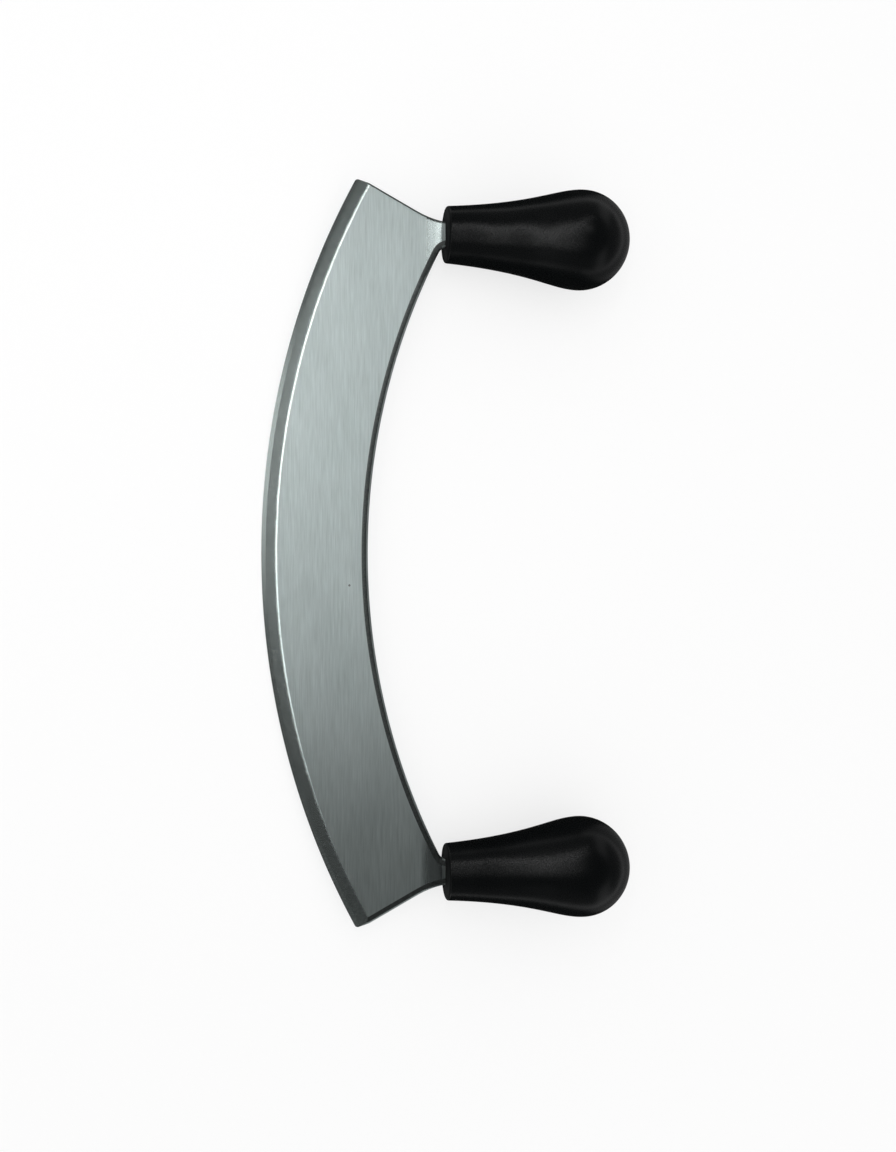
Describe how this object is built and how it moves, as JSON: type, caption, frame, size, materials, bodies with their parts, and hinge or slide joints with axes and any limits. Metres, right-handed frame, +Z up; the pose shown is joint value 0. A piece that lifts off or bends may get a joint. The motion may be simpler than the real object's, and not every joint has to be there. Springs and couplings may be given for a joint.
{
  "type": "rocking pizza cutter",
  "caption": "Long crescent blade with an upright moulded handle at each end, rocked by both hands to cut pizza, herbs or dough.",
  "frame": {"origin": "on the table, under the middle of the part as it lies on the middle of its cutting edge and on both handle bulbs", "axes": "+X along the blade from the left handle to the right one, +Y across from the cutting edge to the handles, +Z up from the table; the blade's plane rises towards the handles by about 8.9 degrees"},
  "size_m": [0.3002, 0.1494, 0.0407],
  "materials": {
    "blade_steel": "brushed",
    "handle_plastic": "satin"
  },
  "bodies": {
    "root": {"blade": "blade_steel", "handle_left": "handle_plastic", "handle_right": "handle_plastic"}
  },
  "joints": []
}
